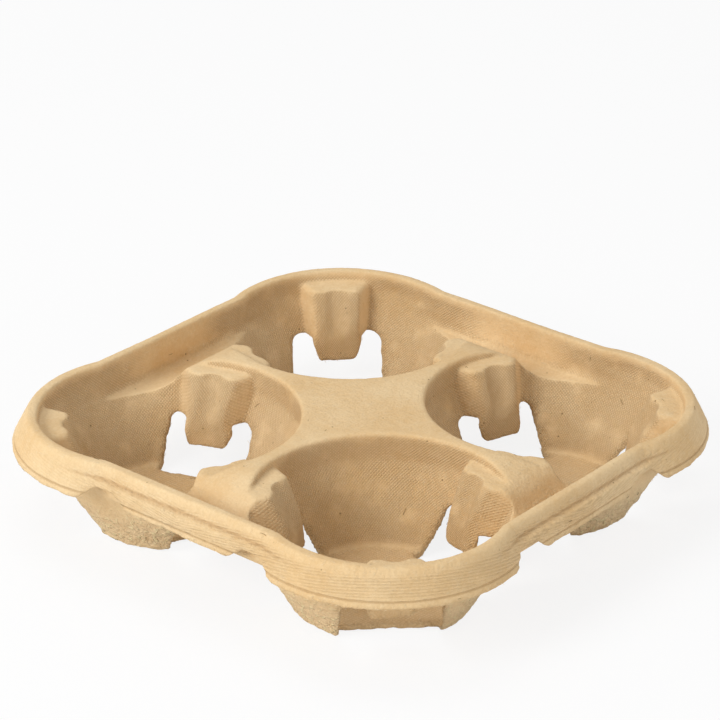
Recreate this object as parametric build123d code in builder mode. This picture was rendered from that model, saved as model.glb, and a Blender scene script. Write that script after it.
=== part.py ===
from build123d import *

import os
from math import cos, radians, sqrt, tan

# Four-pocket drink carrier tray, moulded in one piece from paper pulp. It stands on the flat
# floors of its four pockets. Sizes are in millimetres. The origin is at the centre of the
# footprint, on the surface that the tray stands on, with +Z up.

# Sheet
wall = 2.2              # thickness of the pressed pulp
slant_wall = 2.5        # the same sheet measured level, where it slopes

# Pockets
bowl_radius = 47.2      # inside radius of the upright wall at the top of a pocket
floor_radius = 33.0     # outside radius of a pocket where it stands
cone_height = 31.0      # where the cone ends and the upright wall starts
leg_shoulder = 2.5      # how much higher the cone runs on the outside
floor_round = 2.5       # turn between the floor and the cone
ridge_half = 2.8        # half the width of a ridge where two pockets are nearest

# Rim
crest_height = 42.5     # top of the rim
lobe_shift = 5.4        # a corner lobe's centre, beyond the pocket's axis along X and along Y
bay_step = 3.8          # how much smaller the lobe's inside radius is than the pocket's
bay_height = 35.0       # where the wall behind a corner finger becomes upright
rim_width = 3.8         # across the top of the rim at a lobe
crest_bulge = 2.6       # how far a lobe stands out beyond the straight side, at the crest
lip_bulge = 4.1         # the same at the lower edge
band_run = 6.0          # how far the sloping band runs outwards
lip_height = 31.0       # lower end of the sloping band
lip_drop = 1.5          # upright edge below it
lobe_blend = 9.0        # turn between a lobe and the straight side
crest_outer_round = 1.6
crest_inner_round = 1.1

# Bead and apron along the middle of each side
bead_height = 37.2      # upper edge of the bead
bead_depth = 2.3
bead_length = 92.0
bead_run = 3.2          # from its outermost line inwards to the band
bead_round = 1.0
apron_foot = 29.5       # lower edge of the apron
apron_length = 48.0     # along its lower edge
apron_slant = 7.0       # how much further each end reaches at the bead
apron_corner = 4.0

# Ridges between the pockets
ridge_height = 41.5
ridge_round = 1.5
ramp_height = 34.6      # height of the ramp where it steepens
ramp_run = 21.0         # from the end of the level crest to there
ramp_foot_run = 9.5     # from there to the valley
valley_height = 27.6    # lowest line between the ramp and the rim
valley_flat = 6.8       # from the foot of the ramp to the rim
valley_round = 3.0
side_rim_width = 3.6    # across the top of the rim in the middle of a side
valley_width = 84.0     # along the side

# Holding fingers, three in each pocket
finger_turn = 114.0     # between the corner finger and each of its neighbours
finger_top = 38.0
finger_reach = 39.4     # from the pocket's axis to the front edge of a finger's top
finger_flare = 40.0     # degrees that each flank opens towards the wall
finger_root = 1.6       # how far a finger runs into the wall
corner_top = 38.4       # the same four sizes for the corner finger
corner_reach = 40.2
corner_flare = 30.0
corner_root = 4.8
finger_width = 19.0     # across the front of the top
finger_side_lean = 8.0  # how much further each flank stands out at the floor
knee_height = 24.0      # where the sloping front face turns and runs down more steeply
knee_reach = 32.4
foot_reach = 30.6       # the same face at the floor
knee_round = 14.0
finger_round = 2.4
root_round = 1.5        # turn between the corner finger's top and the wall
flute_radius = 7.0      # hollow down the front of a finger
flute_depth = 1.8

# Windows under the fingers
window_radius = 23.5    # from the pocket's axis to the notch in the floor
window_height = 20.0
corner_window_width = 36.4
side_window_width = 34.0
window_round = 3.0
flap_height = 10.8      # lower end of the finger's flap, which hangs in the window
flap_width = 15.6
flap_slant = 2.7        # how much wider each side of the flap is at the window's top
flap_round = 2.2

# Sizes that follow from those above
pocket_pitch = 2 * (bowl_radius + ridge_half)
pocket_reach = pocket_pitch / sqrt(2)
lobe_centre = pocket_pitch / 2 + lobe_shift
bay_radius = bowl_radius - bay_step
lobe_radius = bay_radius + rim_width
lip_radius = lobe_radius + band_run
crest_half = lobe_centre + lobe_radius - crest_bulge
lip_half = lobe_centre + lip_radius - lip_bulge
rim_inner = crest_half - side_rim_width
valley_reach = rim_inner - valley_flat
ramp_reach = valley_reach - ramp_foot_run
ridge_end = ramp_reach - ramp_run
cone_slope = (bowl_radius + slant_wall - floor_radius) / cone_height
inner_foot = floor_radius + cone_slope * wall - slant_wall
leg_top = cone_height + leg_shoulder
leg_radius = floor_radius + cone_slope * leg_top
top = 2 * crest_height
room = 2 * lip_half
near = 0.01


def lobed_outline(height, half_side, radius, blend):
    """Square outline with a round lobe at each corner, on a level plane."""
    with BuildSketch(Plane.XY.offset(height)) as outline:
        Rectangle(2 * half_side, 2 * lobe_centre)
        Rectangle(2 * lobe_centre, 2 * half_side)
        with GridLocations(2 * lobe_centre, 2 * lobe_centre, 2, 2):
            Circle(radius)
        fillet(outline.vertices(), blend)
    return outline.sketch


def bowl(bottom, foot, shoulder, upright, bay_foot, bay):
    """A pocket's body about its own axis, with local +X towards the tray's corner."""
    with BuildPart() as body:
        with BuildSketch(Plane.XZ):
            with BuildLine():
                Polyline((0, bottom), (foot, bottom), (upright, shoulder), (upright, top), (0, top),
                         close=True)
            make_face()
        revolve(axis=Axis.Z)
        with BuildSketch(Plane.XY.offset(bottom)) as low:
            Circle(bay_foot)
        with BuildSketch(Plane.XY.offset(bay_height)) as high:
            with Locations((lobe_shift * sqrt(2), 0)):
                Circle(bay)
        loft([low.sketch.face(), high.sketch.face()], ruled=True)
        extrude(high.sketch, amount=top - bay_height)
        fillet(edges().group_by(Axis.Z)[0], floor_round)
    return body.part


def finger(reach, height, flare, root, sheet):
    """A finger's body along local +X, or the hollow behind its sheet, open to the space behind."""
    spread = tan(radians(flare))
    back = bowl_radius + root + 2 * sheet
    level = height - (wall if sheet else 0)
    slope = Vector(reach - knee_reach, 0, height - knee_height)
    front = reach + sheet - slope.X / slope.Z * (height - level)
    with BuildPart() as body:
        for plane, lean_out in ((Plane.XY, finger_side_lean), (Plane.XY.offset(height), 0)):
            half = finger_width / 2 + lean_out - sheet / cos(radians(flare))
            wide = half + spread * (back - reach)
            with BuildSketch(plane):
                with BuildLine():
                    Polyline((reach - half / spread, 0), (back, wide), (back, -wide), close=True)
                make_face()
        loft(ruled=True)
        with BuildSketch(Plane.XZ) as profile:
            with BuildLine():
                Polyline((back, 0), (foot_reach + sheet, 0), (knee_reach + sheet, knee_height),
                         (front, level), (back, level), close=True)
            make_face()
            if sheet == 0:
                fillet(profile.vertices().sort_by(Axis.X)[1], knee_round)
        extrude(amount=room, both=True, mode=Mode.INTERSECT)
        if sheet == 0:
            on_top = edges().group_by(Axis.Z)[-1].sort_by(Axis.X)[:-1]
            corners = edges().filter_by(Axis.Y, reverse=True).filter_by_position(
                Axis.X, 0, back - near).filter_by_position(Axis.Z, near, height - near)
            fillet(on_top + corners, finger_round)
        out = Vector(-slope.Z, 0, slope.X).normalized() * (flute_radius - flute_depth)
        middle = Vector(reach, 0, height) + out
        with BuildSketch(Plane(origin=middle, x_dir=(0, 1, 0), z_dir=slope)):
            Circle(flute_radius + height - level)
        extrude(amount=height, both=True, mode=Mode.SUBTRACT)
    return body.part


side_finger = (finger_reach, finger_top, finger_flare, finger_root)
corner_finger = (corner_reach, corner_top, corner_flare, corner_root)

# Space inside a pocket, with its three fingers left standing
with BuildPart() as pocket_space:
    add(bowl(wall, inner_foot, cone_height, bowl_radius, inner_foot, bay_radius))
    add(finger(*corner_finger, 0), mode=Mode.SUBTRACT)
    for turn in (finger_turn, -finger_turn):
        add(finger(*side_finger, 0), rotation=(0, 0, turn), mode=Mode.SUBTRACT)
    level_edges = edges().filter_by_position(Axis.Z, corner_top - near, corner_top + near)
    fillet(level_edges.filter_by(GeomType.LINE, reverse=True), root_round)

# Outside of a pocket, hollow behind its fingers
with BuildPart() as pocket_skin:
    add(bowl(0, floor_radius, leg_top, leg_radius, floor_radius, bay_radius + slant_wall))
    add(finger(*corner_finger, slant_wall), mode=Mode.SUBTRACT)
    for turn in (finger_turn, -finger_turn):
        add(finger(*side_finger, slant_wall), rotation=(0, 0, turn), mode=Mode.SUBTRACT)


def valley(sheet):
    """Space over the hub, a ridge, its ramp and the valley beside the rim, with a sheet around."""
    fall = Vector(valley_reach - ridge_end, valley_height - ridge_height).normalized()
    outer = rim_inner + sheet
    bend = valley_round + sheet
    with BuildPart() as body:
        with BuildSketch(Plane.XZ.offset(-valley_width / 2)):
            with BuildLine():
                crest_start = (-ridge_end, ridge_height - sheet)
                crest_end = (ridge_end, ridge_height - sheet)
                middle = (ramp_reach + fall.Y * sheet, ramp_height - fall.X * sheet)
                foot = (valley_reach, valley_height - sheet)
                turn_start = (outer - bend, valley_height - sheet)
                turn_end = (outer, valley_height - sheet + bend)
                Line(crest_start, crest_end)
                Spline(crest_end, middle, foot, tangents=[(1, 0), (1, 0)])
                Line(foot, turn_start)
                RadiusArc(turn_start, turn_end, -bend)
                Polyline(turn_end, (outer, top), (-ridge_end, top), crest_start)
            make_face()
        extrude(amount=valley_width)
    return body.part


lip_outline = lobed_outline(lip_height, lip_half, lip_radius, lobe_blend)
crest_outline = lobed_outline(crest_height, crest_half, lobe_radius, lobe_blend)

# Everything under the upper surface, as one block
with BuildPart() as block:
    extrude(lip_outline, amount=-lip_height)
    loft([lip_outline.face(), crest_outline.face()], ruled=True)
    with PolarLocations(0, 4):
        add(valley(0), mode=Mode.SUBTRACT)
    with PolarLocations(pocket_reach, 4, start_angle=45):
        add(pocket_space.part, mode=Mode.SUBTRACT)
    crest = faces().sort_by(Axis.Z)[-1]
    fillet(crest.outer_wire().edges(), crest_outer_round)
    crest = faces().filter_by(GeomType.PLANE).sort_by(Axis.Z)[-1]
    fillet(crest.inner_wires()[0].edges(), crest_inner_round)
    over_pockets = edges().filter_by_position(Axis.Z, ridge_height - near, ridge_height + near)
    beside_ramps = edges().filter_by(GeomType.BSPLINE).filter_by(
        lambda edge: abs(edge.vertices().sort_by(Axis.Z)[-1].Z - ridge_height) < near
        and edge.length > ramp_run)
    fillet(over_pockets.filter_by(GeomType.CIRCLE) + beside_ramps, ridge_round)

lip_foot = lip_height - lip_drop
bead_foot = bead_height - bead_depth
side_plane = Plane(origin=(lip_half, 0, 0), x_dir=(0, 1, 0), z_dir=(1, 0, 0))

# Gap under the bead of one straight side, where the band has no lower part
with BuildPart() as side_gap:
    with BuildSketch(side_plane):
        with BuildLine():
            low = bead_length / 2
            high = low - apron_slant
            Polyline((low, 0), (low, lip_foot), (high, bead_foot), (-high, bead_foot),
                     (-low, lip_foot), (-low, 0), close=True)
        make_face()
    extrude(amount=lip_half - rim_inner, both=True)

# Hollow under the sheet: open below the lip, and closed in by the sloping band
lip_under = lobed_outline(lip_height, lip_half - slant_wall, lip_radius - slant_wall, lobe_blend)
crest_under = lobed_outline(crest_height - wall, crest_half - slant_wall, lobe_radius - slant_wall,
                            lobe_blend)
with BuildPart() as underside:
    with BuildSketch(Plane.XY.offset(-wall)):
        Rectangle(2 * room, 2 * room)
    extrude(amount=lip_foot + wall)
    extrude(lip_under, amount=-lip_drop)
    loft([lip_under.face(), crest_under.face()], ruled=True)
    with PolarLocations(0, 4):
        add(side_gap.part)
        add(valley(wall), mode=Mode.SUBTRACT)
    with PolarLocations(pocket_reach, 4, start_angle=45):
        add(pocket_skin.part, mode=Mode.SUBTRACT)

# Bead and apron of one straight side
with BuildPart() as apron:
    with BuildSketch(side_plane):
        with BuildLine():
            low = apron_length / 2
            high = low + apron_slant
            Polyline((low, apron_foot), (high, bead_foot), (-high, bead_foot),
                     (-low, apron_foot), close=True)
        make_face()
        fillet(vertices().group_by(Axis.Y)[0], apron_corner)
    extrude(amount=-wall)
    with BuildSketch(side_plane):
        with Locations((0, bead_foot + bead_depth / 2)):
            Rectangle(bead_length, bead_depth)
    extrude(amount=-bead_run)
    fillet(edges().group_by(Axis.Z)[-1].sort_by(Axis.X)[-1], bead_round)

# Windows under the fingers of one pocket, round the flap that hangs from each finger
with BuildPart() as windows:
    for turn, width, far in ((0, corner_window_width, room),
                             (finger_turn, side_window_width, bowl_radius - ridge_half),
                             (-finger_turn, side_window_width, bowl_radius - ridge_half)):
        plane = Plane(origin=(0, 0, 0), x_dir=(0, 1, 0), z_dir=(1, 0, 0)).rotated((0, 0, turn))
        with BuildSketch(plane.offset(window_radius)):
            with BuildLine():
                half = width / 2
                low = flap_width / 2
                high = low + flap_slant
                Polyline((half, -wall), (half, window_height), (high, window_height),
                         (low, flap_height), (-low, flap_height), (-high, window_height),
                         (-half, window_height), (-half, -wall), close=True)
            make_face()
            fillet(vertices().group_by(Axis.Y)[1], flap_round)
            fillet(vertices().group_by(Axis.Y)[-1], window_round)
        extrude(amount=far - window_radius)
        behind_flap = knee_reach + slant_wall
        with BuildSketch(plane.offset(behind_flap)):
            Rectangle(width - 2 * window_round, 2 * window_height)
        extrude(amount=far - behind_flap)

with BuildPart() as cup_carrier:
    add(block.part)
    add(underside.part, mode=Mode.SUBTRACT)
    with PolarLocations(0, 4):
        add(apron.part)
    with PolarLocations(pocket_reach, 4, start_angle=45):
        add(windows.part, mode=Mode.SUBTRACT)

cup_carrier.part.label = "cup_carrier"
os.makedirs("parts", exist_ok=True)
export_step(cup_carrier.part, "parts/cup_carrier.step")
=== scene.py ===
# %% [markdown]
# # A moulded-pulp drink carrier tray
# The real tray is made in one piece. A wire-mesh mould is dipped into watery paper pulp, suction
# lays the fibres on the mesh, and the wet sheet is dried. That gives everything the eye picks up:
# soft, uneven edges, the print of the mesh, torn edges round the openings, stray fibres, and a
# warm, mottled, quite matt brown. This lesson turns the exact CAD solid into such a sheet.

# %% Load the measured model
import math

import bmesh
import bpy
import numpy as np
from mathutils import Matrix, Vector


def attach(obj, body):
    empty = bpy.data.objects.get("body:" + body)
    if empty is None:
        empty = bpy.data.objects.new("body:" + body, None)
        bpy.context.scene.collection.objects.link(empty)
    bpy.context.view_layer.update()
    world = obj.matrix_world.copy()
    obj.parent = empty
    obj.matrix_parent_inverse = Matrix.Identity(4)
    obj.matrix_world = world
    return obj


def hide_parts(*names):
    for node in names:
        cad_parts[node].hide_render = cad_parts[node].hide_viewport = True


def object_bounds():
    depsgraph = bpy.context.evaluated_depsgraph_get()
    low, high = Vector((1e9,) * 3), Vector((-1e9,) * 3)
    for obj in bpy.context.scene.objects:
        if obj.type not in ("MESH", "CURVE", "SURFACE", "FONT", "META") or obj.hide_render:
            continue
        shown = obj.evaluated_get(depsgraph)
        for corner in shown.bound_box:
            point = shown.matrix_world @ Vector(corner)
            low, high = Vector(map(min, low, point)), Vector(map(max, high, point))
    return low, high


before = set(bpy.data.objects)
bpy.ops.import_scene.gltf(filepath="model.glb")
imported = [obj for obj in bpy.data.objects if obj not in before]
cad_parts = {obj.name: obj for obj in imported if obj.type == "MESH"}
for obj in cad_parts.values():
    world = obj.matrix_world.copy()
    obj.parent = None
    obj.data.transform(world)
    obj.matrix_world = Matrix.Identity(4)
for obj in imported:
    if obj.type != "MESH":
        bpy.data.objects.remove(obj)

cad_box = [list(map(float, corner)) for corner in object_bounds()]
print("CAD box, metres:", cad_box)

# %% [markdown]
# ## Colours
# Colours are picked as sRGB hex values, the way a picture editor shows them. Blender's shaders
# work with linear light, so one function turns each hex value into linear numbers.

# %% Hex to linear colour
def colour(hex_value):
    """Turns "#RRGGBB" into the linear RGBA values that a shader socket wants."""
    parts = [int(hex_value[i:i + 2], 16) / 255 for i in (1, 3, 5)]
    linear = [c / 12.92 if c <= 0.04045 else ((c + 0.055) / 1.055) ** 2.4 for c in parts]
    return (*linear, 1.0)


print("mid brown in linear light:", [round(c, 3) for c in colour("#E4C595")])

# %% [markdown]
# ## Adding nodes
# A material or a geometry tree is a graph of nodes. One small function adds a node, sets its
# options, and fills or links its inputs, so that each recipe below reads from top to bottom.

# %% One function for every node
def add_node(tree, kind, inputs=None, **settings):
    """Adds a node. An input's value is a number, a colour, or another node's output to link."""
    node = tree.nodes.new(kind)
    for name, value in settings.items():
        setattr(node, name, value)
    for key, value in (inputs or {}).items():
        if isinstance(value, bpy.types.NodeSocket):
            tree.links.new(value, node.inputs[key])
        else:
            node.inputs[key].default_value = value
    return node


# %% [markdown]
# ## The main sizes
# The shape of the tray repeats in its four corners, so a point's place is best told in a
# pocket's own terms: how far it is from the pocket's axis, at which angle, and how high.

# %% Sizes of the tray, in millimetres
MM = 0.001
POCKET = 50.0            # from the tray's centre to a pocket's axis, along X and along Y
FINGER_TURN = 114.0      # degrees from the corner finger to each of its neighbours
WINDOW_HALF = {0.0: 18.2, FINGER_TURN: 17.0, -FINGER_TURN: 17.0}     # half each opening's width
WINDOW_TOP = 20.0        # height of the openings under the fingers
WINDOW_NOTCH = 23.5      # from the axis to the notch in the floor
FLAP_FOOT = 10.8         # lower end of the flap that hangs in an opening
FLAP_HALF = 7.8          # half its width there
FLAP_SLANT = 0.29        # how much wider each side gets for each millimetre upwards
SKIRT_FOOT = 29.5        # lower edge of the skirt that runs round the outside
LEG_FOOT, LEG_SLOPE = 30.5, 0.54    # a leg's outside starts this far from the axis, and leans


def pocket_place(points):
    """Place from the nearest pocket's axis, along and across the tray's diagonal, and height."""
    x, y = (np.abs(points[:, :2]) / MM).T
    along = (x + y - 2 * POCKET) / math.sqrt(2)
    across = (y - x) / math.sqrt(2)
    return along, across, points[:, 2] / MM


print("openings in each pocket:", len(WINDOW_HALF))

# %% [markdown]
# ## Where the surface is torn, lumpy or printed
# A few masks, one number per point, steer both the shape and the finish. They are worked out
# from each point's place and direction, so all four corners get the same treatment:
# - `torn`: 1 on the ragged edges of the openings, less on the lower edge of the skirt,
# - `foot`: 1 at the foot of the legs, where the pulp is lumpy,
# - `print`: 1 inside the pockets, where the sheet lay on the wire mesh,
# - `lobe`: 1 on the outside of the rounded corners, where the print is a set of fine rows,
# - `floor`: 1 on the pocket floors, where the mesh is seen square on,
# - `streak`: 1 along the straight sides, where the wet sheet was dragged lengthwise.

# %% How far a point is from an opening
def ramp(value, low, high):
    """0 below low, 1 above high, smooth between."""
    t = np.clip((value - low) / (high - low), 0, 1)
    return t * t * (3 - 2 * t)


def bump_at(value, middle, width):
    """1 at the middle, fading on both sides."""
    return np.exp(-((value - middle) / width) ** 2)


def opening_distance(along, across, z, half):
    """Distance in millimetres from the free edge of one opening, flap and floor notch included."""
    flap = FLAP_HALF + FLAP_SLANT * (np.clip(z, FLAP_FOOT, WINDOW_TOP) - FLAP_FOOT)
    past_side = across - half
    beside_flap = np.hypot(np.maximum(np.maximum(past_side, flap - across), 0),
                           np.maximum(z - WINDOW_TOP, 0))
    under_flap = np.hypot(np.maximum(past_side, 0), np.maximum(z - FLAP_FOOT, 0))
    gap = np.minimum(beside_flap, under_flap)
    return np.hypot(gap, np.maximum(WINDOW_NOTCH - along, 0))


# %% Masks from the place and the direction of each point
MASKS = ("torn", "foot", "print", "lobe", "floor", "streak")
TORN_REACH = 1.7         # how far the tearing goes in from an edge
SKIRT_TEAR, SKIRT_TEAR_REACH = 0.65, 1.1            # how torn the skirt's edge is, and how far in
SKIRT_SIDE, SKIRT_LOBE = (100, 102), (51.5, 53)     # where the skirt starts, out from the centre
FINGER_NEAREST = 15                                 # no finger comes nearer to a pocket's axis

# A mask fades between two limits. Distances and heights are in millimetres. The others are
# shares of a normal of length 1: how much the surface faces outwards, inwards or up.
FOOT_HEIGHT, FOOT_OUTWARD = (7, 26), (-0.1, 0.3)
PRINT_INWARD, PRINT_REACH, PRINT_FOOT, PRINT_TOP = (0.2, 0.55), (50, 60), (2.5, 5), (39, 41.5)
LEVEL_SHARE, FLOOR_SHARE, FLOOR_REACH, FLOOR_HEIGHT = (0.6, 0.85), (0.8, 0.95), 32, (2.5, 4)
LOBE_REACH, LOBE_OUTWARD = (40, 48), (0.2, 0.5)
STREAK_REACH, STREAK_FOOT, STREAK_TOP, STREAK_END = (97, 101), (26, 29), (39, 42), (38, 60)


def surface_masks(points, normals):
    """The masks of MASKS, for points in metres and their unit normals."""
    u, v, z = pocket_place(points)
    r = np.hypot(u, v)
    side = np.where(points[:, :2] < 0, -1, 1)
    nx, ny = (normals[:, :2] * side).T
    outward = ((nx + ny) * u + (ny - nx) * v) / math.sqrt(2) / np.maximum(r, 0.001)
    up = normals[:, 2]
    reach = np.max(np.abs(points[:, :2]), axis=1) / MM
    middle = np.min(np.abs(points[:, :2]), axis=1) / MM

    torn = np.zeros(len(points))
    for turn, half in WINDOW_HALF.items():
        angle = math.radians(turn)
        along = u * math.cos(angle) + v * math.sin(angle)
        across = np.abs(v * math.cos(angle) - u * math.sin(angle))
        gap = opening_distance(along, across, z, half)
        torn = np.maximum(torn, bump_at(gap, 0, TORN_REACH) * (along > FINGER_NEAREST))
    skirt = np.maximum(ramp(reach, *SKIRT_SIDE), ramp(r, *SKIRT_LOBE))
    torn = np.maximum(torn, SKIRT_TEAR * skirt * bump_at(z, SKIRT_FOOT, SKIRT_TEAR_REACH))

    on_leg = r > LEG_FOOT + LEG_SLOPE * z
    foot = (1 - ramp(z, *FOOT_HEIGHT)) * ramp(outward, *FOOT_OUTWARD) * on_leg
    inside = ramp(-outward, *PRINT_INWARD) * (1 - ramp(r, *PRINT_REACH))
    inside = inside * ramp(z, *PRINT_FOOT) * (1 - ramp(z, *PRINT_TOP)) * (1 - ramp(up, *LEVEL_SHARE))
    floor_print = ramp(up, *FLOOR_SHARE) * (r < FLOOR_REACH) * (1 - ramp(z, *FLOOR_HEIGHT))
    lobe = ramp(r * (u > 0), *LOBE_REACH) * ramp(outward, *LOBE_OUTWARD)
    streak = ramp(reach, *STREAK_REACH) * (1 - ramp(middle, *STREAK_END))
    streak = streak * ramp(z, *STREAK_FOOT) * (1 - ramp(z, *STREAK_TOP))
    return torn, foot, inside, lobe, floor_print, streak


# %% Store the masks on a mesh
def write_masks(mesh):
    """Stores the masks as named attributes, for nodes to read."""
    points = np.empty(len(mesh.vertices) * 3, np.float32)
    normals = np.empty(len(mesh.vertices) * 3, np.float32)
    mesh.vertices.foreach_get("co", points)
    mesh.vertex_normals.foreach_get("vector", normals)
    values = surface_masks(points.reshape(-1, 3), normals.reshape(-1, 3))
    for name, mask in zip(MASKS, values):
        if name not in mesh.attributes:
            mesh.attributes.new(name, "FLOAT", "POINT")
        mesh.attributes[name].data.foreach_set("value", mask.astype(np.float32))
        print("mask", name, "covers", round(100 * float(mask.mean()), 1), "percent")


# %% [markdown]
# ## The sheet itself
# The CAD solid has exact faces and crisp edges. A voxel remesh melts it into one even skin, with
# edges as soft as real pulp. A copy is used, and its doubled points are merged first.

# %% Melt the solid into one skin
VOXEL = 0.55 * MM
SOFTENING = 5            # rounds of smoothing after the remesh
DOUBLES = 0.01 * MM      # points nearer than this are one point


def evaluated_mesh(obj):
    """The mesh an object has after its modifiers, as a mesh of its own."""
    graph = bpy.context.evaluated_depsgraph_get()
    return bpy.data.meshes.new_from_object(obj.evaluated_get(graph))


cad_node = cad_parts["cup_carrier"]
work = bmesh.new()
work.from_mesh(cad_node.data)
bmesh.ops.transform(work, matrix=cad_node.matrix_world, verts=work.verts)
bmesh.ops.remove_doubles(work, verts=work.verts, dist=DOUBLES)
merged = bpy.data.meshes.new("merged_tray")
work.to_mesh(merged)
work.free()

tray = bpy.data.objects.new("pulp_tray", merged)
bpy.context.collection.objects.link(tray)
melt = tray.modifiers.new("melt", "REMESH")
melt.mode = "VOXEL"
melt.voxel_size = VOXEL
soften = tray.modifiers.new("soften", "SMOOTH")
soften.factor = 0.5
soften.iterations = SOFTENING
skin = evaluated_mesh(tray)
tray.modifiers.clear()
tray.data = skin
write_masks(skin)
print("skin:", len(skin.vertices), "points")

# %% [markdown]
# ## Lumps, torn edges and a slight warp
# A geometry tree moves each point along its normal by layers of noise. Each layer has a size, a
# height and a mask that says where it acts: lumps at the foot, tears only at free edges, a fine
# grain everywhere. A long, weak wave keeps the rim from being perfectly straight, as on any tray
# that dried in air, and a groove is sunk round the corners, above the skirt's edge.

# %% The layers of roughness
LAYERS = (
    # name, size in mm, height in mm, detail, mask, share of the height outside the mask, seed
    ("Lump", 5.0, 0.60, 2.0, "foot", 0.13, 3.1),
    ("Knob", 2.3, 0.35, 1.0, "foot", 0.0, 4.7),
    ("Grain", 1.8, 0.15, 2.0, "foot", 1.0, 7.7),
    ("Tear", 4.5, 0.45, 3.0, "torn", 0.0, 5.3),
    ("Rip", 9.0, 1.20, 1.0, "torn", 0.0, 9.9),
)
WARP_SIZE, WARP_HEIGHT = 55.0, 1.1
WARP_RISE = (6, 30)      # heights between which the warp grows from nothing to its full size
GROOVE_LEVEL, GROOVE_DEPTH = 32.0, 0.35
GROOVE_FLANK = (0.2, 1.0)           # full depth within the first distance, none past the second


def open_tree(name, numbers):
    """A geometry tree with named number inputs. Returns it and the sockets of all its inputs."""
    tree = bpy.data.node_groups.new(name, "GeometryNodeTree")
    tree.interface.new_socket("Geometry", in_out="INPUT", socket_type="NodeSocketGeometry")
    for label, value in numbers:
        socket = tree.interface.new_socket(label, in_out="INPUT", socket_type="NodeSocketFloat")
        socket.default_value = value
    tree.interface.new_socket("Geometry", in_out="OUTPUT", socket_type="NodeSocketGeometry")
    return tree, add_node(tree, "NodeGroupInput").outputs


def close_tree(tree, geometry, material):
    """Ends a tree: instances become real, and the material is set."""
    real = add_node(tree, "GeometryNodeRealizeInstances", {"Geometry": geometry}).outputs[0]
    dressed = add_node(tree, "GeometryNodeSetMaterial", {"Geometry": real,
                       "Material": material}).outputs[0]
    add_node(tree, "NodeGroupOutput", {"Geometry": dressed})


def line_near(tree, measure, level, core, reach):
    """1 where a measure is within core of a level, fading to 0 at reach, all in millimetres."""
    above = add_node(tree, "ShaderNodeMath", {0: measure, 1: level * MM},
                     operation="SUBTRACT").outputs[0]
    off = add_node(tree, "ShaderNodeMath", {0: above}, operation="ABSOLUTE").outputs[0]
    return add_node(tree, "ShaderNodeMapRange", {"Value": off, "From Min": core * MM,
                    "From Max": reach * MM, "To Min": 1.0, "To Max": 0.0}).outputs[0]


def run_tree(piece, tree, numbers):
    """Gives an object the mesh that a tree makes of it. Each input is set by its identifier."""
    modifier = piece.modifiers.new("tree", "NODES")
    modifier.node_group = tree
    for item in tree.interface.items_tree:
        if item.in_out == "INPUT" and item.name in numbers:
            modifier[item.identifier] = float(numbers[item.name])
    mesh = evaluated_mesh(piece)
    piece.modifiers.clear()
    piece.data = mesh
    return mesh


sizes = []
for name, size, height, *_ in LAYERS:
    sizes += [(name + " size", size * MM), (name + " height", height * MM)]
sizes += [("Warp size", WARP_SIZE * MM), ("Warp height", WARP_HEIGHT * MM),
          ("Groove depth", GROOVE_DEPTH * MM)]
roughen, given = open_tree("Roughen pulp", sizes)
print("inputs of the tree:", len(sizes))

# %% Add the layers up
place = add_node(roughen, "GeometryNodeInputPosition").outputs[0]
total = 0.0
for name, _, _, detail, mask, share, seed in LAYERS:
    shifted = add_node(roughen, "ShaderNodeVectorMath", {0: place, 1: (seed, seed, seed)}).outputs[0]
    turns = add_node(roughen, "ShaderNodeMath", {0: 1.0, 1: given[name + " size"]},
                     operation="DIVIDE").outputs[0]
    noise = add_node(roughen, "ShaderNodeTexNoise", {"Vector": shifted, "Scale": turns,
                     "Detail": detail, "Roughness": 0.55}).outputs[0]
    centred = add_node(roughen, "ShaderNodeMath", {0: noise, 1: 2.0, 2: -1.0},
                       operation="MULTIPLY_ADD").outputs[0]
    where = add_node(roughen, "GeometryNodeInputNamedAttribute", {"Name": mask},
                     data_type="FLOAT").outputs[0]
    amount = add_node(roughen, "ShaderNodeMath", {0: where, 1: 1.0 - share, 2: share},
                      operation="MULTIPLY_ADD").outputs[0]
    high = add_node(roughen, "ShaderNodeMath", {0: amount, 1: given[name + " height"]},
                    operation="MULTIPLY").outputs[0]
    total = add_node(roughen, "ShaderNodeMath", {0: centred, 1: high, 2: total},
                     operation="MULTIPLY_ADD").outputs[0]
height = add_node(roughen, "ShaderNodeSeparateXYZ", {0: place}).outputs["Z"]
groove = line_near(roughen, height, GROOVE_LEVEL, *GROOVE_FLANK)
lobe = add_node(roughen, "GeometryNodeInputNamedAttribute", {"Name": "lobe"},
                data_type="FLOAT").outputs[0]
groove = add_node(roughen, "ShaderNodeMath", {0: groove, 1: lobe}, operation="MULTIPLY").outputs[0]
sunk = add_node(roughen, "ShaderNodeMath", {0: groove, 1: given["Groove depth"]},
                operation="MULTIPLY").outputs[0]
total = add_node(roughen, "ShaderNodeMath", {0: total, 1: sunk}, operation="SUBTRACT").outputs[0]
print("nodes so far:", len(roughen.nodes))

# %% Move the points along their normals, and warp the rim
normal = add_node(roughen, "GeometryNodeInputNormal").outputs[0]
along = add_node(roughen, "ShaderNodeVectorMath", {0: normal, "Scale": total},
                 operation="SCALE").outputs[0]
turns = add_node(roughen, "ShaderNodeMath", {0: 1.0, 1: given["Warp size"]},
                 operation="DIVIDE").outputs[0]
slow = add_node(roughen, "ShaderNodeTexNoise", {"Vector": place, "Scale": turns,
                "Detail": 0.0}).outputs["Color"]
slow = add_node(roughen, "ShaderNodeVectorMath", {0: slow, 1: (0.5, 0.5, 0.5)},
                operation="SUBTRACT").outputs[0]
lift = add_node(roughen, "ShaderNodeMapRange", {"Value": height, "From Min": WARP_RISE[0] * MM,
                "From Max": WARP_RISE[1] * MM}).outputs[0]
amount = add_node(roughen, "ShaderNodeMath", {0: given["Warp height"], 1: lift},
                  operation="MULTIPLY").outputs[0]
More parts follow.
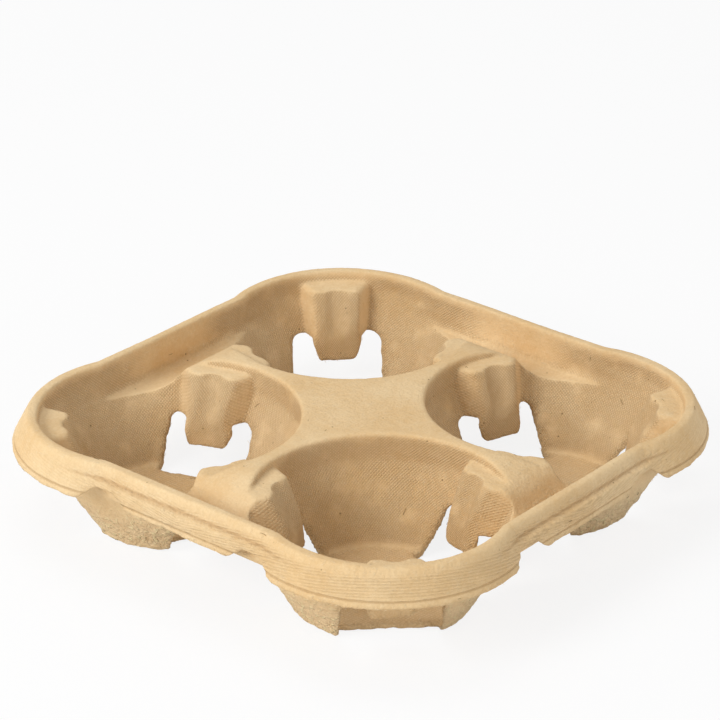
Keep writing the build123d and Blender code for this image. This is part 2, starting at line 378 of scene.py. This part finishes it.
slow = add_node(roughen, "ShaderNodeVectorMath", {0: slow, "Scale": amount},
                operation="SCALE").outputs[0]
move = add_node(roughen, "ShaderNodeVectorMath", {0: along, 1: slow}).outputs[0]
moved = add_node(roughen, "GeometryNodeSetPosition", {"Geometry": given["Geometry"],
                 "Offset": move}).outputs[0]
pulp = bpy.data.materials.new("moulded paper pulp")      # its nodes follow further down
close_tree(roughen, moved, pulp)
rough_skin = run_tree(tray, roughen, dict(sizes))
print("rough skin:", len(rough_skin.vertices), "points")

# %% [markdown]
# ## Fewer triangles, and no point outside the real size
# The skin is thinned out where it lies flat. The roughening may also push a few points a hair
# beyond the measured box, or below the table. They are put back, so that the picture keeps the
# tray's true size and the tray stands flat on its four floors.

# %% Thin the skin out and keep it inside its measured box
MOST_TRIANGLES = 192000
triangles = sum(len(polygon.vertices) - 2 for polygon in rough_skin.polygons)
thin = tray.modifiers.new("thin", "DECIMATE")
thin.ratio = min(1.0, MOST_TRIANGLES / triangles)
final_skin = evaluated_mesh(tray)
tray.modifiers.clear()
tray.data = final_skin
points = np.empty(len(final_skin.vertices) * 3, np.float32)
final_skin.vertices.foreach_get("co", points)
points = points.reshape(-1, 3)
clipped = np.clip(points, cad_box[0], cad_box[1])
final_skin.vertices.foreach_set("co", clipped.ravel())
final_skin.update()
for polygon in final_skin.polygons:
    polygon.use_smooth = True
write_masks(final_skin)
print("tray:", triangles, "triangles before,", len(final_skin.polygons), "after,",
      int((np.abs(clipped - points).max(axis=1) > 0).sum()), "points put back")

# %% [markdown]
# ## Moulded paper pulp
# Recycled newsprint and kraft board, beaten in water, sucked onto a wire mesh and dried. To the
# eye that is a matt warm beige with next to no gloss, clouded by the uneven thickness of the
# sheet, flecked with darker bits, and a little browner where it was torn or scorched in drying.
# The finish starts with plain patterns, each with its size in millimetres. They are kept by name,
# beside the masks, so that the colour and the relief can both draw on them.

# %% Patterns of the pulp
PATTERNS = (
    # name, size in mm, stretch along X, Y and Z, detail, and the noise values that give 0 and 1
    ("clouds", 38.0, (1, 1, 1), 3.0, 0.38, 0.62),
    ("patches", 7.0, (1, 1, 1), 4.0, 0.35, 0.65),
    ("stains", 13.0, (1, 1, 1.6), 3.0, 0.60, 0.72),
    ("curds", 2.4, (1, 1, 1), 3.0, 0.30, 0.70),
    ("grain", 0.9, (1, 1, 1), 4.0, 0.30, 0.70),
    ("crumbs", 2.0, (1, 1, 1), 1.0, 0.54, 0.66),
    ("worn", 9.0, (1, 1, 1), 2.0, 0.10, 0.48),
    ("strands_x", 0.5, (0.12, 1, 1), 2.0, 0.62, 0.72),
    ("strands_y", 0.5, (1, 0.12, 1), 2.0, 0.62, 0.72),
)
pulp.use_nodes = True
tree = pulp.node_tree
tree.nodes.clear()
place = add_node(tree, "ShaderNodeTexCoord").outputs["Object"]
layers = {"all": 1.0}
for name in MASKS:
    layers[name] = add_node(tree, "ShaderNodeAttribute", attribute_name=name).outputs["Fac"]
for name, size, stretch, detail, low, high in PATTERNS:
    shaped = add_node(tree, "ShaderNodeMapping", {"Vector": place, "Scale": stretch}).outputs[0]
    noise = add_node(tree, "ShaderNodeTexNoise", {"Vector": shaped, "Scale": 1 / (size * MM),
                     "Detail": detail}).outputs[0]
    layers[name] = add_node(tree, "ShaderNodeMapRange", {"Value": noise, "From Min": low,
                            "From Max": high}).outputs[0]
print("patterns and masks:", len(layers))

# %% [markdown]
# The wire mesh is woven from wires about 0.8 mm apart. That is finer than the picture can show,
# so the print is drawn with 1.2 mm between the wires, and with 1.05 mm in the rows outside. Two
# families of lines cross as they wind round each pocket. A whole number goes round, so there is
# no seam. Round the corners only one family shows, as rows that follow the band.

# %% The print of the mesh inside the pockets
WEAVE = 1.2              # millimetres between wires, as drawn
WEAVE_RADIUS = 44        # distance from the pocket's axis at which that step holds
SECOND_WIRE = 0.75       # how deep the second family of wires prints, beside the first
AROUND = float(round(2 * math.pi * WEAVE_RADIUS / WEAVE))
split = add_node(tree, "ShaderNodeSeparateXYZ", {0: place}).outputs
mirrored, from_axis = [], []
for axis in ("X", "Y"):
    mirrored.append(add_node(tree, "ShaderNodeMath", {0: split[axis]}, operation="ABSOLUTE").outputs[0])
    from_axis.append(add_node(tree, "ShaderNodeMath", {0: mirrored[-1], 1: POCKET * MM},
                              operation="SUBTRACT").outputs[0])
angle = add_node(tree, "ShaderNodeMath", {0: from_axis[1], 1: from_axis[0]},
                 operation="ARCTAN2").outputs[0]
wires = []
for lean in (1, -1):
    climb = add_node(tree, "ShaderNodeMath", {0: split["Z"], 1: lean * 2 * math.pi / (WEAVE * MM)},
                     operation="MULTIPLY").outputs[0]
    turned = add_node(tree, "ShaderNodeMath", {0: angle, 1: AROUND, 2: climb},
                      operation="MULTIPLY_ADD").outputs[0]
    wires.append(add_node(tree, "ShaderNodeMath", {0: turned}, operation="SINE").outputs[0])
second = add_node(tree, "ShaderNodeMath", {0: wires[1], 1: SECOND_WIRE}, operation="MULTIPLY").outputs[0]
mesh_print = add_node(tree, "ShaderNodeMath", {0: wires[0], 1: second}, operation="MAXIMUM").outputs[0]
layers["weave"] = add_node(tree, "ShaderNodeMath", {0: mesh_print, 1: layers["worn"]},
                           operation="MULTIPLY").outputs[0]
print("wires round a pocket:", AROUND)

# %% The same print as rows round the corners, and square on the floors
ROW_STEP = 1.05          # millimetres of height from row to row
ROW_TILT = 0.16          # how much the wires' plane rises for each millimetre outwards
ROW_FOOT, ROW_TOP = (32.6, 33.4), (40.5, 38.8)      # heights where the rows fade in and out
ROW_CORNER = (30, -140)  # X plus Y, from where the rows are worn away to where they are clear
CREASE_LEVEL = 38.0      # the inner corner above the bead of a straight side, darkened there with painted shade
GROOVE_SHADE, CREASE_SHADE = (0.1, 0.5), (0.1, 0.7)     # how far each line spreads, both its sunk relief and its painted shade


def wave(tree, measure, step):
    """A sine that repeats at every step, in millimetres, of a measure."""
    phase = add_node(tree, "ShaderNodeMath", {0: measure, 1: 2 * math.pi / (step * MM)},
                     operation="MULTIPLY").outputs[0]
    return add_node(tree, "ShaderNodeMath", {0: phase}, operation="SINE").outputs[0]


far_out = add_node(tree, "ShaderNodeMath", {0: from_axis[0], 1: from_axis[1]}).outputs[0]
tilted = add_node(tree, "ShaderNodeMath", {0: far_out, 1: -ROW_TILT, 2: split["Z"]},
                  operation="MULTIPLY_ADD").outputs[0]
row = wave(tree, tilted, ROW_STEP)
diagonal = add_node(tree, "ShaderNodeMath", {0: split["X"], 1: split["Y"]}).outputs[0]
zone = layers["worn"]
for measure, low, high in ((split["Z"], *ROW_FOOT), (split["Z"], *ROW_TOP), (diagonal, *ROW_CORNER)):
    part = add_node(tree, "ShaderNodeMapRange", {"Value": measure, "From Min": low * MM,
                    "From Max": high * MM}).outputs[0]
    zone = add_node(tree, "ShaderNodeMath", {0: zone, 1: part}, operation="MULTIPLY").outputs[0]
layers["rows"] = add_node(tree, "ShaderNodeMath", {0: row, 1: zone}, operation="MULTIPLY").outputs[0]
# The groove's line sinks the relief and also carries painted shade: its coat darkens the groove where
# shade falls.
layers["groove"] = line_near(tree, split["Z"], GROOVE_LEVEL, *GROOVE_SHADE)
# The crease's line likewise sinks the relief and carries painted shade in the crease.
layers["crease"] = line_near(tree, split["Z"], CREASE_LEVEL, *CREASE_SHADE)
layers["square"] = add_node(tree, "ShaderNodeMath", {0: wave(tree, split["X"], WEAVE),
                            1: wave(tree, split["Y"], WEAVE)}, operation="MAXIMUM").outputs[0]
print("rows on a band:", round((ROW_TOP[0] - ROW_FOOT[0]) / ROW_STEP))

# %% [markdown]
# Along the straight sides the wet sheet was dragged lengthwise over the mould's edge, which
# leaves long, thin streaks. Their noise is stretched along the side: X plus Y grows along every
# side, and the larger of the two tells how far out a point is. Dark flecks of ink and bark are
# the middles of a cell pattern, kept only where a second noise allows them.

# %% Streaks along the sides, and dark flecks
STREAK_STRETCH, STREAK_SIZE = 0.11, 1.2
STREAK_NOISE = (0.3, 0.7)                           # the noise values that give 0 and 1
FLECK_STEP = 5.0                                    # from fleck to fleck, where all are kept
FLECK_EDGE, FLECK_PLACES = (0.05, 0.09), (0.55, 0.8)    # their size in a cell, and where they are kept
lengthwise = add_node(tree, "ShaderNodeMath", {0: diagonal, 1: STREAK_STRETCH},
                      operation="MULTIPLY").outputs[0]
outward = add_node(tree, "ShaderNodeMath", {0: mirrored[0], 1: mirrored[1]},
                   operation="MAXIMUM").outputs[0]
drawn = add_node(tree, "ShaderNodeCombineXYZ", {"X": lengthwise, "Y": outward,
                 "Z": split["Z"]}).outputs[0]
noise = add_node(tree, "ShaderNodeTexNoise", {"Vector": drawn, "Scale": 1 / (STREAK_SIZE * MM),
                 "Detail": 3.0}).outputs[0]
layers["streaks"] = add_node(tree, "ShaderNodeMapRange", {"Value": noise,
                             "From Min": STREAK_NOISE[0], "From Max": STREAK_NOISE[1]}).outputs[0]
cells = add_node(tree, "ShaderNodeTexVoronoi", {"Vector": place,
                 "Scale": 1 / (FLECK_STEP * MM)}).outputs["Distance"]
dots = add_node(tree, "ShaderNodeMapRange", {"Value": cells, "From Min": FLECK_EDGE[0],
                "From Max": FLECK_EDGE[1], "To Min": 1.0, "To Max": 0.0}).outputs[0]
some = add_node(tree, "ShaderNodeMapRange", {"Value": layers["patches"],
                "From Min": FLECK_PLACES[0], "From Max": FLECK_PLACES[1]}).outputs[0]
layers["flecks"] = add_node(tree, "ShaderNodeMath", {0: dots, 1: some}, operation="MULTIPLY").outputs[0]
print("layers to draw on:", len(layers))

# %% [markdown]
# The colour is painted in thin coats. Each coat multiplies two layers, which gives the place,
# and a strength, and mixes its own brown over what is there. A mix of colours takes its share in
# input 0 and the two colours in inputs 6 and 7, and its result is output 2.

# %% The coats of colour
COATS = (
    # layer, layer, strength, colour
    ("clouds", "all", 1.0, "#EFD2A4"),
    ("patches", "all", 0.30, "#DDBB89"),
    ("curds", "all", 0.25, "#F3DDB4"),
    ("grain", "all", 0.22, "#C6A16E"),
    ("strands_x", "all", 0.25, "#F6E5C2"),
    ("strands_y", "all", 0.25, "#F6E5C2"),
    ("stains", "print", 0.08, "#B5895A"),
    ("all", "foot", 0.40, "#F4E0BC"),
    ("stains", "foot", 0.35, "#B08250"),
    ("crumbs", "foot", 0.65, "#F6E8B8"),
    ("grain", "foot", 0.28, "#B08A5A"),
    ("grain", "torn", 0.35, "#BC9667"),
    ("streaks", "streak", 0.15, "#C8A271"),
    # painted shade: the crease above the bead is darkened where shade falls in it
    ("crease", "streak", 0.45, "#AC8154"),
    # painted shade: the next three coats darken the sunk pits of the mesh print, its rows and its
    # squares, where shade falls
    ("weave", "print", 0.46, "#AD8254"),
    ("rows", "lobe", 0.28, "#B68F60"),
    ("square", "floor", 0.25, "#B98C5A"),
    # painted shade: the groove round the corners is darkened where its shadow falls
    ("groove", "lobe", 0.45, "#B18756"),
    ("flecks", "all", 0.75, "#7A5630"),
)
paint = colour("#E4C08C")
for first, second, strength, tint in COATS:
    where = add_node(tree, "ShaderNodeMath", {0: layers[first], 1: layers[second]},
                     operation="MULTIPLY").outputs[0]
    amount = add_node(tree, "ShaderNodeMath", {0: where, 1: strength}, operation="MULTIPLY",
                      use_clamp=True).outputs[0]
    paint = add_node(tree, "ShaderNodeMix", {0: amount, 6: paint, 7: colour(tint)},
                     data_type="RGBA").outputs[2]
print("coats of colour:", len(COATS))

# %% The relief, and the shader
RELIEF = (
    # layer, layer, height in mm
    ("weave", "print", -0.18),
    ("rows", "lobe", -0.11),
    ("groove", "lobe", -0.30),
    ("crease", "streak", -0.25),
    ("square", "floor", -0.08),
    ("streaks", "streak", 0.14),
    ("curds", "streak", 0.32),
    ("grain", "all", 0.11),
    ("curds", "all", 0.15),
    ("curds", "foot", 0.55),
    ("grain", "foot", 0.12),
    ("crumbs", "foot", 0.42),
    ("grain", "torn", 0.35),
    ("strands_x", "all", 0.07),
    ("strands_y", "all", 0.07),
)
height = 0.0
for first, second, size in RELIEF:
    where = add_node(tree, "ShaderNodeMath", {0: layers[first], 1: layers[second]},
                     operation="MULTIPLY").outputs[0]
    height = add_node(tree, "ShaderNodeMath", {0: where, 1: size * MM, 2: height},
                      operation="MULTIPLY_ADD").outputs[0]
bump = add_node(tree, "ShaderNodeBump", {"Strength": 1.0, "Distance": 1.0, "Height": height}).outputs[0]
shader = add_node(tree, "ShaderNodeBsdfPrincipled", {"Base Color": paint, "Roughness": 0.93,
                  "IOR": 1.45, "Specular IOR Level": 0.25, "Normal": bump}).outputs[0]
add_node(tree, "ShaderNodeOutputMaterial", {"Surface": shader})
print("nodes in the pulp material:", len(tree.nodes))

# %% Tell the frame what the sheet is
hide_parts("cup_carrier")
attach(tray, "root")

# %% [markdown]
# ## Stray fibres
# Close up, pulp is a felt of fibres. Most are part of the sheet, but a few dark hairs lie loose
# on it, and pale fuzz stands out of every torn edge. Thousands of hairs by hand would be absurd,
# so one geometry tree scatters points where a mask allows, lays a short bent curve on each, and
# gives it a three-sided, tapered section. Real fibres are 0.03 mm thick. That is far too fine to
# show, so they are drawn 0.14 to 0.17 mm thick.

# %% Materials of the fibres
TONE_SIZE = 1.5          # a fibre's tone changes over about so many millimetres


def fibre_material(name, tones):
    """A matt fibre whose colour drifts between two tones along its length."""
    material = bpy.data.materials.new(name)
    material.use_nodes = True
    tree = material.node_tree
    tree.nodes.clear()
    place = add_node(tree, "ShaderNodeTexCoord").outputs["Object"]
    noise = add_node(tree, "ShaderNodeTexNoise", {"Vector": place,
                     "Scale": 1 / (TONE_SIZE * MM)}).outputs[0]
    drift = add_node(tree, "ShaderNodeMapRange", {"Value": noise, "From Min": 0.35,
                     "From Max": 0.65}).outputs[0]
    paint = add_node(tree, "ShaderNodeMix", {0: drift, 6: colour(tones[0]), 7: colour(tones[1])},
                     data_type="RGBA").outputs[2]
    shader = add_node(tree, "ShaderNodeBsdfPrincipled", {"Base Color": paint, "Roughness": 0.85,
                      "IOR": 1.5, "Specular IOR Level": 0.3}).outputs[0]
    add_node(tree, "ShaderNodeOutputMaterial", {"Surface": shader})
    return material


bark_fibre = fibre_material("unbleached bark fibre", ("#6E4C2C", "#94703F"))
paper_fibre = fibre_material("bleached paper fibre", ("#F6E7C6", "#E6CB98"))

# %% A geometry tree that scatters fibres
ARC_POINTS, SECTION_POINTS = 6, 3
ARC = ((-0.5, 0, -0.04), (0, 0.5, 0.16), (0.5, 0, -0.04))   # a fibre of length 1, its tips sunk in
ARC_LEAST, ARC_MOST = (0.3, -0.8, 0.6), (1.7, 0.8, 1.2)     # its stretch along, sideways and up
TIP = 0.3                # thickness at the tips, as a share of the middle's
BARE_BELOW = (1.8, 3.0)  # heights between which the fibres fade in, so that none pokes the table


def fibre_tree(name, mask, share, stand, material, seed):
    """
    Scatters fibres over the surface it is given. mask says where, share is how many lie outside
    it, and stand is the most they tilt up, in degrees.
    """
    tree, given = open_tree(name, (("Per square metre", 0.0), ("Length", 0.0), ("Thickness", 0.0)))
    where = add_node(tree, "GeometryNodeInputNamedAttribute", {"Name": mask},
                     data_type="FLOAT").outputs[0]
    amount = add_node(tree, "ShaderNodeMath", {0: where, 1: 1.0 - share, 2: share},
                      operation="MULTIPLY_ADD").outputs[0]
    place = add_node(tree, "GeometryNodeInputPosition").outputs[0]
    height = add_node(tree, "ShaderNodeSeparateXYZ", {0: place}).outputs["Z"]
    clear = add_node(tree, "ShaderNodeMapRange", {"Value": height, "From Min": BARE_BELOW[0] * MM,
                     "From Max": BARE_BELOW[1] * MM}).outputs[0]
    amount = add_node(tree, "ShaderNodeMath", {0: amount, 1: clear}, operation="MULTIPLY").outputs[0]
    density = add_node(tree, "ShaderNodeMath", {0: amount, 1: given["Per square metre"]},
                       operation="MULTIPLY").outputs[0]
    spots = add_node(tree, "GeometryNodeDistributePointsOnFaces", {"Mesh": given["Geometry"],
                     "Density": density, "Seed": seed}).outputs
    turn = spots["Rotation"]
    for axis, most, shift in (((0, 0, 1), 2 * math.pi, 1), ((0, 1, 0), math.radians(stand), 2)):
        by = add_node(tree, "FunctionNodeRandomValue", {"Max": most, "Seed": seed + shift},
                      data_type="FLOAT").outputs["Value"]
        spin = add_node(tree, "FunctionNodeAxisAngleToRotation", {"Axis": axis, "Angle": by}).outputs[0]
        turn = add_node(tree, "FunctionNodeRotateRotation", {"Rotation": turn, "Rotate By": spin},
                        rotation_space="LOCAL").outputs[0]
    arc = add_node(tree, "GeometryNodeCurveQuadraticBezier", {"Resolution": ARC_POINTS - 1,
                   "Start": ARC[0], "Middle": ARC[1], "End": ARC[2]}).outputs[0]
    vary = add_node(tree, "FunctionNodeRandomValue", {"Min": ARC_LEAST, "Max": ARC_MOST,
                    "Seed": seed + 3}, data_type="FLOAT_VECTOR").outputs["Value"]
    scale = add_node(tree, "ShaderNodeVectorMath", {0: vary, "Scale": given["Length"]},
                     operation="SCALE").outputs[0]
    laid = add_node(tree, "GeometryNodeInstanceOnPoints", {"Points": spots["Points"], "Instance": arc,
                    "Rotation": turn, "Scale": scale}).outputs[0]
    hairs = add_node(tree, "GeometryNodeRealizeInstances", {"Geometry": laid}).outputs[0]
    part_way = add_node(tree, "GeometryNodeSplineParameter").outputs["Factor"]
    half_turn = add_node(tree, "ShaderNodeMath", {0: part_way, 1: math.pi},
                         operation="MULTIPLY").outputs[0]
    belly = add_node(tree, "ShaderNodeMath", {0: half_turn}, operation="SINE").outputs[0]
    radius = add_node(tree, "ShaderNodeMath", {0: belly, 1: 1.0 - TIP, 2: TIP},
                      operation="MULTIPLY_ADD").outputs[0]
    hairs = add_node(tree, "GeometryNodeSetCurveRadius", {"Curve": hairs, "Radius": radius}).outputs[0]
    half = add_node(tree, "ShaderNodeMath", {0: given["Thickness"], 1: 0.5},
                    operation="MULTIPLY").outputs[0]
    section = add_node(tree, "GeometryNodeCurvePrimitiveCircle", {"Resolution": SECTION_POINTS,
                       "Radius": half}).outputs[0]
    solid = add_node(tree, "GeometryNodeCurveToMesh", {"Curve": hairs, "Profile Curve": section,
                     "Fill Caps": True}).outputs[0]
    close_tree(tree, solid, material)
    return tree


# %% Scatter the dark hairs and the pale fuzz
def scatter(name, tree, numbers):
    """Runs a scattering tree over the tray's skin and keeps the result as a piece of its own."""
    piece = bpy.data.objects.new(name, final_skin.copy())
    bpy.context.collection.objects.link(piece)
    mesh = run_tree(piece, tree, numbers)
    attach(piece, "root")
    print(name, len(mesh.polygons), "faces")


scatter("bark_hairs", fibre_tree("Lay bark hairs", "torn", 0.3, 4, bark_fibre, 11),
        {"Per square metre": 2200, "Length": 2.4 * MM, "Thickness": 0.17 * MM})
scatter("torn_fuzz", fibre_tree("Stand torn fuzz", "torn", 0.0, 50, paper_fibre, 23),
        {"Per square metre": 75000, "Length": 1.8 * MM, "Thickness": 0.14 * MM})

# %% [markdown]
# ## Floor, light and camera
# The camera stands where the photograph was taken from, so the same corner points at us. The
# floor is pale and plain. A large soft lamp from the left gives the form its light side, a weak
# one on the right keeps the dark side open, and one above and behind lights the tops.

# %% Camera
AZIMUTH, ELEVATION, ROLL = -50.949, 25.741, 0.918                # degrees
DISTANCE, SHIFT_RIGHT, SHIFT_UP = 1.17157, -0.00064, 0.054353    # metres
PICTURE, FOCAL = 720, 3071.9                                     # pixels
SENSOR = 36                                                      # millimetres

azimuth, elevation, roll = (math.radians(degrees) for degrees in (AZIMUTH, ELEVATION, ROLL))
away = math.cos(elevation)
back = Vector((math.sin(azimuth) * away, -math.cos(azimuth) * away, math.sin(elevation)))
level = Vector((math.cos(azimuth), math.sin(azimuth), 0))
upright = back.cross(level)
right = level * math.cos(roll) + upright * math.sin(roll)
up = upright * math.cos(roll) - level * math.sin(roll)
camera_data = bpy.data.cameras.new("camera")
camera_data.sensor_width = SENSOR
camera_data.lens = FOCAL / PICTURE * SENSOR
camera_data.clip_start, camera_data.clip_end = 0.01, 50
camera = bpy.data.objects.new("camera", camera_data)
eye = back * DISTANCE + right * SHIFT_RIGHT + up * SHIFT_UP
camera.matrix_world = Matrix.Translation(eye) @ Matrix((right, up, back)).transposed().to_4x4()
bpy.context.collection.objects.link(camera)
bpy.context.scene.camera = camera
print("lens, mm:", round(camera_data.lens, 1))

# %% Round soft lamps that face the tray
LAMPS = (
    # name, metres towards the camera, to its right and up, size in metres, watts
    ("key", 0.9, -1.2, 0.95, 0.9, 18.6),
    ("fill", 1.0, 1.3, 0.5, 1.2, 4.8),
    ("top", -0.6, -0.4, 1.7, 1.2, 6.0),
)
AIM = Vector((0, 0, 0.02))          # the middle of the tray, which every lamp faces
front = Vector((back.x, back.y, 0)).normalized()
for name, nearer, rightwards, high, size, power in LAMPS:
    place = front * nearer + level * rightwards + Vector((0, 0, high))
    lamp_data = bpy.data.lights.new(name, "AREA")
    lamp_data.shape = "DISK"
    lamp_data.size = size
    lamp_data.energy = power
    lamp = bpy.data.objects.new(name, lamp_data)
    lamp.location = place
    lamp.rotation_euler = (AIM - place).to_track_quat("-Z", "Y").to_euler()
    bpy.context.collection.objects.link(lamp)
print("lamps:", len(bpy.data.lights))

# %% A white world and a white floor that keeps the shadow
def seen_directly(tree):
    """1 for rays that show a surface to the camera, in a mirror or through glass."""
    path = add_node(tree, "ShaderNodeLightPath").outputs
    seen = path["Is Camera Ray"]
    for other in ("Is Glossy Ray", "Is Transmission Ray"):
        seen = add_node(tree, "ShaderNodeMath", {0: seen, 1: path[other]}, operation="MAXIMUM").outputs[0]
    return seen


WHITE = (1, 1, 1, 1)
ROOM_LIGHT = 0.5         # how brightly the world lights the tray
FLOOR_HALF = 6.0         # metres from the middle of the floor to its edge
FLOOR_DROP = 0.2         # millimetres from the tray down to the floor, so that they share no plane
FLOOR_GLOW = 0.85        # share of the floor's look that is plain white, beside the shadow

world = bpy.data.worlds.new("studio")
bpy.context.scene.world = world
world.use_nodes = True
tree = world.node_tree
tree.nodes.clear()
room = add_node(tree, "ShaderNodeBackground", {"Color": colour("#F6F6F8"),
                "Strength": ROOM_LIGHT}).outputs[0]
white = add_node(tree, "ShaderNodeBackground", {"Color": WHITE, "Strength": 1.0}).outputs[0]
both = add_node(tree, "ShaderNodeMixShader", {0: seen_directly(tree), 1: room, 2: white}).outputs[0]
add_node(tree, "ShaderNodeOutputWorld", {"Surface": both})

signs = ((-1, -1), (1, -1), (1, 1), (-1, 1))
corners = [(x * FLOOR_HALF, y * FLOOR_HALF, -FLOOR_DROP * MM) for x, y in signs]
floor_mesh = bpy.data.meshes.new("floor")
floor_mesh.from_pydata(corners, [], [(0, 1, 2, 3)])
floor = bpy.data.objects.new("floor", floor_mesh)
bpy.context.collection.objects.link(floor)
paper = bpy.data.materials.new("matt white backdrop paper")
paper.use_nodes = True
tree = paper.node_tree
tree.nodes.clear()
matt = add_node(tree, "ShaderNodeBsdfDiffuse", {"Color": colour("#F4F4F4")}).outputs[0]
glow = add_node(tree, "ShaderNodeEmission", {"Color": WHITE, "Strength": 1.0}).outputs[0]
share = add_node(tree, "ShaderNodeMath", {0: seen_directly(tree), 1: FLOOR_GLOW},
                 operation="MULTIPLY").outputs[0]
surface = add_node(tree, "ShaderNodeMixShader", {0: share, 1: matt, 2: glow}).outputs[0]
add_node(tree, "ShaderNodeOutputMaterial", {"Surface": surface})
floor_mesh.materials.append(paper)
bpy.context.scene.view_settings.view_transform = "Standard"
